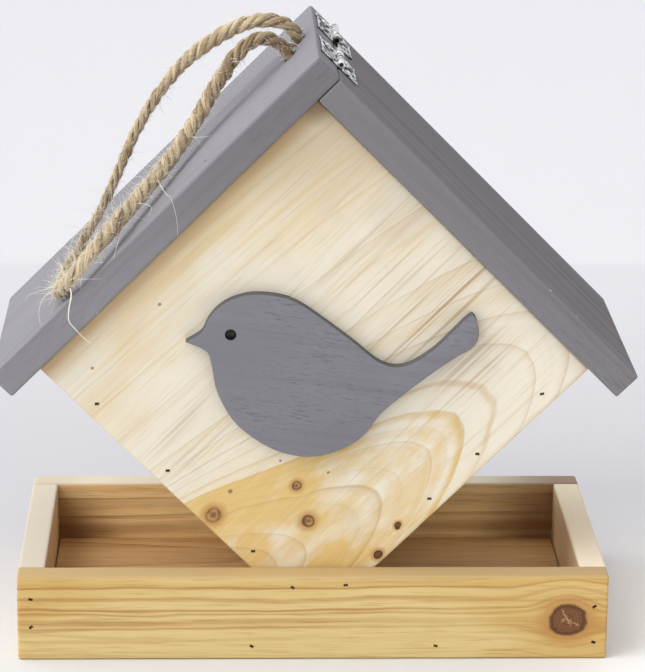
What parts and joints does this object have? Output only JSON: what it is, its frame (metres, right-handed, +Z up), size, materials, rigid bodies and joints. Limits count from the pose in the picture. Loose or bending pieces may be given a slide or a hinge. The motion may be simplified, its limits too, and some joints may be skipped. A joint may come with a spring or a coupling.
{
  "type": "hanging bird feeder",
  "caption": "Square wooden bird feeder house set on its corner in an open tray, with a hinged roof panel over a seed hopper and a jute hanging loop.",
  "frame": {"origin": "middle of the tray's underside", "axes": "+X to the feeder's right as seen from the front, along the tray's long side; +Y to the back; +Z up; the bird plaque faces -Y"},
  "size_m": [0.2576, 0.126, 0.2532],
  "materials": {
    "natural_pine": "bare sanded pine with knots",
    "grey_painted_wood": "thin matt grey paint over wood, grain showing",
    "nickel": "bright nickel-plated pierced sheet",
    "steel_nails": "dull bare steel",
    "jute": "hairy three-strand twisted jute"
  },
  "bodies": {
    "house": {"tray_floor": "natural_pine", "tray_front_wall": "natural_pine", "tray_back_wall": "natural_pine", "tray_left_wall": "natural_pine", "tray_right_wall": "natural_pine", "front_gable": "natural_pine", "back_gable": "natural_pine", "left_hopper_panel": "natural_pine", "right_hopper_panel": "natural_pine", "roof_left_panel": "grey_painted_wood", "bird_plaque": "grey_painted_wood", "hinge_1_fixed_leaf": "nickel", "hinge_2_fixed_leaf": "nickel", "hinge_1_pin": "nickel", "hinge_2_pin": "nickel", "front_brad_left_upper": "steel_nails", "front_brad_left_lower": "steel_nails", "front_brad_right_upper": "steel_nails", "front_brad_right_lower": "steel_nails", "front_brad_gable_left": "steel_nails", "front_brad_gable_right": "steel_nails", "front_brad_floor_left": "steel_nails", "front_brad_floor_right": "steel_nails", "back_brad_left_upper": "steel_nails", "back_brad_left_lower": "steel_nails", "back_brad_right_upper": "steel_nails", "back_brad_right_lower": "steel_nails", "back_brad_gable_left": "steel_nails", "back_brad_gable_right": "steel_nails", "gable_front_brad_left_1": "steel_nails", "gable_front_brad_left_2": "steel_nails", "gable_front_brad_left_3": "steel_nails", "gable_front_brad_right_1": "steel_nails", "gable_front_brad_right_2": "steel_nails", "gable_front_brad_right_3": "steel_nails", "gable_front_brad_right_4": "steel_nails", "gable_back_brad_left_1": "steel_nails", "gable_back_brad_left_2": "steel_nails", "gable_back_brad_right_1": "steel_nails", "gable_back_brad_right_2": "steel_nails", "roof_brad_front_1": "steel_nails", "roof_brad_front_2": "steel_nails", "roof_brad_back_1": "steel_nails", "roof_brad_back_2": "steel_nails", "plaque_pin_upper": "steel_nails", "plaque_pin_lower": "steel_nails", "hinge_1_fixed_nail_a": "steel_nails", "hinge_1_fixed_nail_b": "steel_nails", "hinge_2_fixed_nail_a": "steel_nails", "hinge_2_fixed_nail_b": "steel_nails", "hanging_rope": "jute", "rope_knot": "jute"},
    "lid": {"roof_lid": "grey_painted_wood", "hinge_1_lid_leaf": "nickel", "hinge_2_lid_leaf": "nickel", "hinge_1_lid_nail_a": "steel_nails", "hinge_1_lid_nail_b": "steel_nails", "hinge_2_lid_nail_a": "steel_nails", "hinge_2_lid_nail_b": "steel_nails"}
  },
  "joints": [
    {"name": "lid_hinge", "type": "hinge", "parent": "house", "child": "lid", "pos_m": [0.00983, 0, 0.24086], "axis": [0, -1, 0], "range_deg": [0, 175]}
  ]
}
